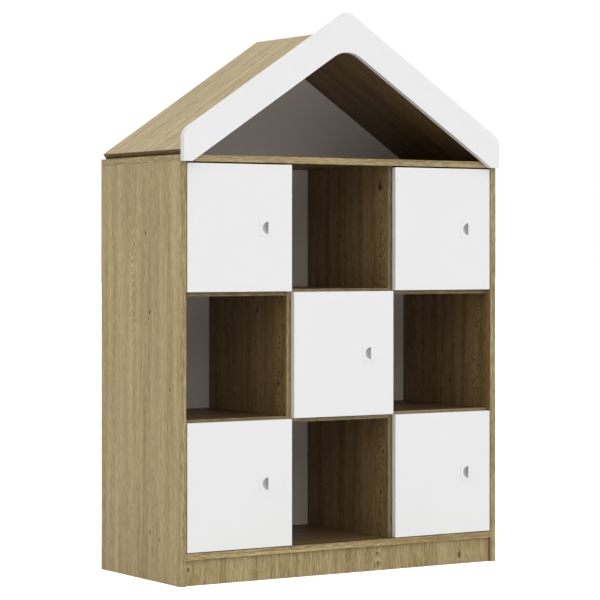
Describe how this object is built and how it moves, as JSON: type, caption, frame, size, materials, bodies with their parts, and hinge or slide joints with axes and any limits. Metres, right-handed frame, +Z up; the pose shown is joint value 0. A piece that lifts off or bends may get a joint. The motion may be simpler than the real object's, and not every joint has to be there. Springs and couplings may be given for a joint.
{
  "type": "house shaped bookcase",
  "caption": "House shaped children's bookcase: oak-look cabinet with open compartments and white doors in a chequer pattern, under a pitched roof with a white gable front.",
  "frame": {"origin": "on the floor, under the middle of the whole outline", "axes": "+X to the right as seen from the front, +Y from the front to the back, +Z up"},
  "size_m": [1.052, 0.471, 1.5651],
  "materials": {
    "oak_board": "satin oak-look melamine",
    "white_board": "satin white melamine",
    "back_board": "white faced hardboard",
    "white_plastic": "satin",
    "steel": "nickel plated",
    "zinc": "zinc plated",
    "beech": "raw turned beech",
    "clear_rubber": "soft, milky"
  },
  "bodies": {
    "root": {"left_side_panel": "oak_board", "right_side_panel": "oak_board", "top_board": "oak_board", "bottom_board": "oak_board", "front_plinth": "oak_board", "rear_plinth": "oak_board", "left_divider": "oak_board", "right_divider": "oak_board", "lower_left_shelf": "oak_board", "lower_centre_shelf": "oak_board", "lower_right_shelf": "oak_board", "upper_left_shelf": "oak_board", "upper_centre_shelf": "oak_board", "upper_right_shelf": "oak_board", "left_back_panel": "back_board", "centre_back_panel": "back_board", "right_back_panel": "back_board", "gable_back_panel": "white_board", "left_roof_panel": "oak_board", "right_roof_panel": "oak_board", "gable_fascia": "white_board", "cam_locks": "zinc", "cam_bolts": "steel", "double_cam_bolts": "steel", "dowels": "beech", "base_screws": "steel", "back_nails": "steel", "hinge_plates": "steel", "hinge_arms": "steel", "plate_screws": "zinc"},
    "top_left_door": {"top_left_door": "white_board", "top_left_pull": "white_plastic", "top_left_hinge_cups": "steel", "top_left_hinge_pins": "steel", "top_left_cup_screws": "zinc", "top_left_bumpers": "clear_rubber"},
    "top_right_door": {"top_right_door": "white_board", "top_right_pull": "white_plastic", "top_right_hinge_cups": "steel", "top_right_hinge_pins": "steel", "top_right_cup_screws": "zinc", "top_right_bumpers": "clear_rubber"},
    "centre_door": {"centre_door": "white_board", "centre_pull": "white_plastic", "centre_hinge_cups": "steel", "centre_hinge_pins": "steel", "centre_cup_screws": "zinc", "centre_bumpers": "clear_rubber"},
    "bottom_left_door": {"bottom_left_door": "white_board", "bottom_left_pull": "white_plastic", "bottom_left_hinge_cups": "steel", "bottom_left_hinge_pins": "steel", "bottom_left_cup_screws": "zinc", "bottom_left_bumpers": "clear_rubber"},
    "bottom_right_door": {"bottom_right_door": "white_board", "bottom_right_pull": "white_plastic", "bottom_right_hinge_cups": "steel", "bottom_right_hinge_pins": "steel", "bottom_right_cup_screws": "zinc", "bottom_right_bumpers": "clear_rubber"}
  },
  "joints": [
    {"name": "top_left_door_hinge", "type": "hinge", "parent": "root", "child": "top_left_door", "pos_m": [-0.4975, -0.2112, 0.964], "axis": [0, 0, -1], "range_deg": [0, 95]},
    {"name": "top_right_door_hinge", "type": "hinge", "parent": "root", "child": "top_right_door", "pos_m": [0.1805, -0.2112, 0.964], "axis": [0, 0, -1], "range_deg": [0, 95]},
    {"name": "centre_door_hinge", "type": "hinge", "parent": "root", "child": "centre_door", "pos_m": [-0.1585, -0.2112, 0.614], "axis": [0, 0, -1], "range_deg": [0, 95]},
    {"name": "bottom_left_door_hinge", "type": "hinge", "parent": "root", "child": "bottom_left_door", "pos_m": [-0.4975, -0.2112, 0.264], "axis": [0, 0, -1], "range_deg": [0, 95]},
    {"name": "bottom_right_door_hinge", "type": "hinge", "parent": "root", "child": "bottom_right_door", "pos_m": [0.1805, -0.2112, 0.264], "axis": [0, 0, -1], "range_deg": [0, 95]}
  ]
}
